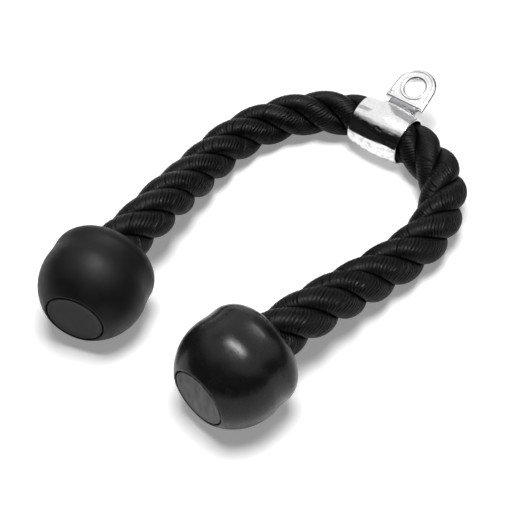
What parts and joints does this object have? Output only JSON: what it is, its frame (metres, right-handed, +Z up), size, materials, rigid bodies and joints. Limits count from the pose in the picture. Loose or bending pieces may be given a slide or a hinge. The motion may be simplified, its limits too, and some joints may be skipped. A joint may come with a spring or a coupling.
{
  "type": "triceps rope attachment",
  "caption": "Short laid rope folded through a chromed eye sleeve, with a round rubber stop on each end, for pull-down exercises on a cable machine.",
  "frame": {"origin": "on the floor, under the middle of the object as it lies with its arms at rest", "axes": "+X along the sleeve, +Y from the rubber ends towards the eye, +Z up from the floor"},
  "size_m": [0.2017, 0.3443, 0.0704],
  "materials": {
    "rope": "matte",
    "chrome": "polished",
    "rubber": "satin",
    "cap": "satin",
    "zinc": "satin"
  },
  "bodies": {
    "sleeve_body": {"sleeve": "chrome", "eye_plate": "chrome", "strand_1_centre": "rope", "strand_2_centre": "rope", "strand_3_centre": "rope"},
    "arm_left": {"strand_1_left": "rope", "strand_2_left": "rope", "strand_3_left": "rope", "rope_ferrule_left": "zinc", "end_washer_left": "zinc"},
    "arm_right": {"strand_1_right": "rope", "strand_2_right": "rope", "strand_3_right": "rope", "rope_ferrule_right": "zinc", "end_washer_right": "zinc"},
    "end_left": {"rubber_end_left": "rubber", "end_cap_left": "cap"},
    "end_right": {"rubber_end_right": "rubber", "end_cap_right": "cap"}
  },
  "joints": [
    {"name": "arm_left_swing", "type": "hinge", "parent": "sleeve_body", "child": "arm_left", "pos_m": [-0.055, 0.10048, 0.01995], "axis": [0, 0, -1], "range_deg": [-4, 70], "deforming": ["strand_1_centre", "strand_2_centre", "strand_3_centre"]},
    {"name": "arm_right_swing", "type": "hinge", "parent": "sleeve_body", "child": "arm_right", "pos_m": [0.0598, 0.10455, 0.01996], "axis": [0, 0, 1], "range_deg": [-4, 70], "deforming": ["strand_1_centre", "strand_2_centre", "strand_3_centre"]},
    {"name": "rubber_end_left_turn", "type": "hinge", "parent": "arm_left", "child": "end_left", "pos_m": [-0.03774, -0.16514, 0.0352], "axis": [-0.3616, 0.9323, 0], "continuous": true},
    {"name": "rubber_end_right_turn", "type": "hinge", "parent": "arm_right", "child": "end_right", "pos_m": [0.05988, -0.15947, 0.0352], "axis": [0.0889, 0.996, 0], "continuous": true}
  ]
}
